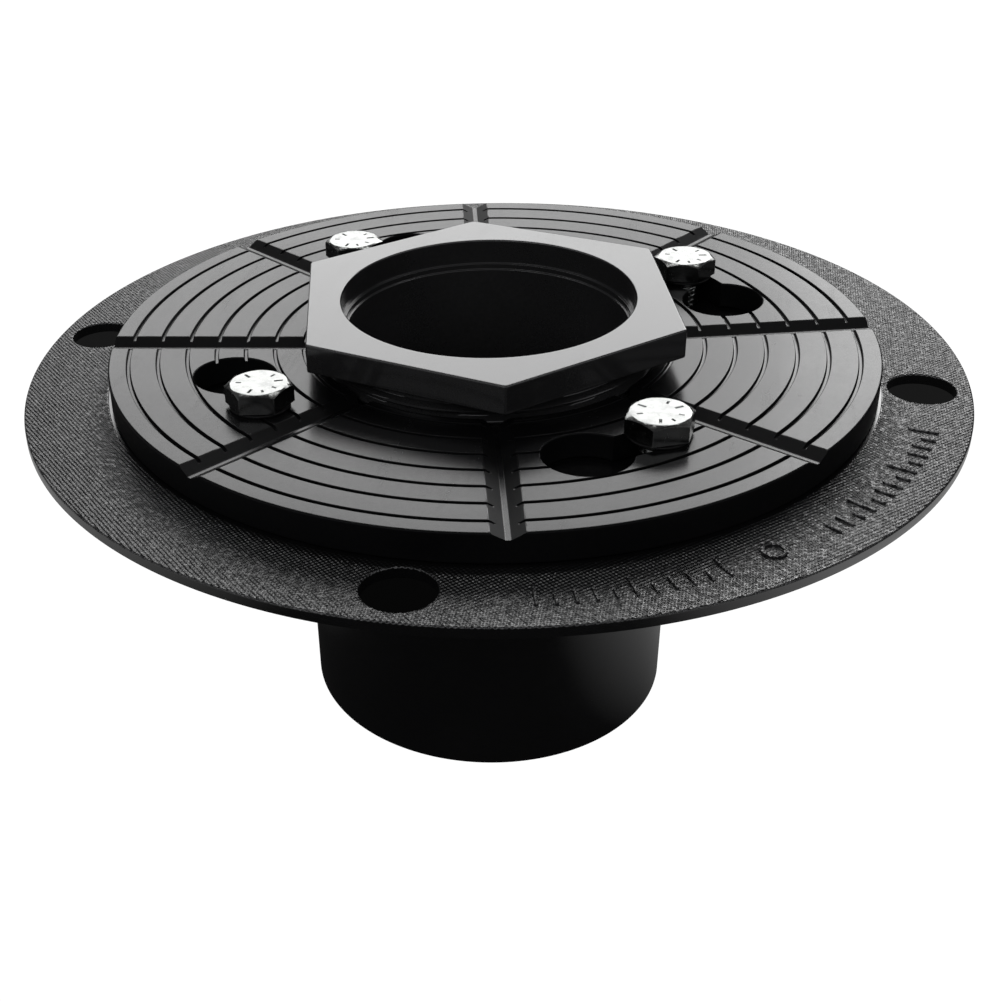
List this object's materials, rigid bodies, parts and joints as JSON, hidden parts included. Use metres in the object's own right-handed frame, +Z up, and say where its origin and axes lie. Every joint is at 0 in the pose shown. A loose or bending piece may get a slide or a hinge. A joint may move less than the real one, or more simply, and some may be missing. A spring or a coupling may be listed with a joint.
{
  "type": "shower drain base flange",
  "caption": "Round floor-drain base flange with an outlet spigot, a grooved clamping ring with keyhole slots, hexagon-head screws and a height-adjustable hex collar.",
  "frame": {"origin": "centre of the outlet spigot's bottom end", "axes": "+Z up along the drain's axis; +X and +Y through the flange's fixing holes; the picture looks from about -80 degrees about +Z"},
  "size_m": [0.213, 0.213, 0.1014],
  "materials": {
    "abs_textured": "black ABS, fine moulded grid texture on the flange",
    "abs_ring": "black ABS, semi-gloss",
    "abs_collar": "black ABS, semi-gloss",
    "seal_rubber": "black rubber, matte",
    "nylon": "black nylon",
    "zinc_steel": "bright zinc-plated or stainless steel",
    "insert_brass": "turned brass"
  },
  "bodies": {
    "base": {"base_flange": "abs_textured", "threaded_insert_back_right": "insert_brass", "threaded_insert_back_left": "insert_brass", "threaded_insert_front_left": "insert_brass", "threaded_insert_front_right": "insert_brass"},
    "clamp_ring": {"clamp_ring": "abs_ring"},
    "collar_seal": {"collar_o_ring": "seal_rubber"},
    "collar": {"drain_collar": "abs_collar"},
    "washer_back_right": {"washer_back_right": "nylon"},
    "bolt_back_right": {"bolt_back_right": "zinc_steel"},
    "washer_back_left": {"washer_back_left": "nylon"},
    "bolt_back_left": {"bolt_back_left": "zinc_steel"},
    "washer_front_left": {"washer_front_left": "nylon"},
    "bolt_front_left": {"bolt_front_left": "zinc_steel"},
    "washer_front_right": {"washer_front_right": "nylon"},
    "bolt_front_right": {"bolt_front_right": "zinc_steel"}
  },
  "joints": [
    {"name": "ring_turn", "type": "hinge", "parent": "base", "child": "clamp_ring", "pos_m": [0, 0, 0.0848], "axis": [0, 0, 1], "range_deg": [0, 16]},
    {"name": "collar_height", "type": "slide", "parent": "clamp_ring", "child": "collar_seal", "axis": [0, 0, 1], "range_m": [-0.0038, 0.0121]},
    {"name": "collar_screw", "type": "hinge", "parent": "collar_seal", "child": "collar", "pos_m": [0, 0, 0.0848], "axis": [0, 0, 1], "range_deg": [-540, 1728]},
    {"name": "bolt_lift_back_right", "type": "slide", "parent": "base", "child": "washer_back_right", "axis": [0, 0, 1], "range_m": [0, 0.0076]},
    {"name": "bolt_screw_back_right", "type": "hinge", "parent": "washer_back_right", "child": "bolt_back_right", "pos_m": [0.042, 0.042, 0.0848], "axis": [0, 0, 1], "range_deg": [0, 2160]},
    {"name": "bolt_lift_back_left", "type": "slide", "parent": "base", "child": "washer_back_left", "axis": [0, 0, 1], "range_m": [0, 0.0076]},
    {"name": "bolt_screw_back_left", "type": "hinge", "parent": "washer_back_left", "child": "bolt_back_left", "pos_m": [-0.042, 0.042, 0.0848], "axis": [0, 0, 1], "range_deg": [0, 2160]},
    {"name": "bolt_lift_front_left", "type": "slide", "parent": "base", "child": "washer_front_left", "axis": [0, 0, 1], "range_m": [0, 0.0076]},
    {"name": "bolt_screw_front_left", "type": "hinge", "parent": "washer_front_left", "child": "bolt_front_left", "pos_m": [-0.042, -0.042, 0.0848], "axis": [0, 0, 1], "range_deg": [0, 2160]},
    {"name": "bolt_lift_front_right", "type": "slide", "parent": "base", "child": "washer_front_right", "axis": [0, 0, 1], "range_m": [0, 0.0076]},
    {"name": "bolt_screw_front_right", "type": "hinge", "parent": "washer_front_right", "child": "bolt_front_right", "pos_m": [0.042, -0.042, 0.0848], "axis": [0, 0, 1], "range_deg": [0, 2160]}
  ],
  "couplings": [
    {"joint": "collar_height", "follows": "collar_screw", "m_per_rad": 0.00039789},
    {"joint": "bolt_lift_back_right", "follows": "bolt_screw_back_right", "m_per_rad": 0.00019894},
    {"joint": "bolt_lift_back_left", "follows": "bolt_screw_back_left", "m_per_rad": 0.00019894},
    {"joint": "bolt_lift_front_left", "follows": "bolt_screw_front_left", "m_per_rad": 0.00019894},
    {"joint": "bolt_lift_front_right", "follows": "bolt_screw_front_right", "m_per_rad": 0.00019894}
  ]
}
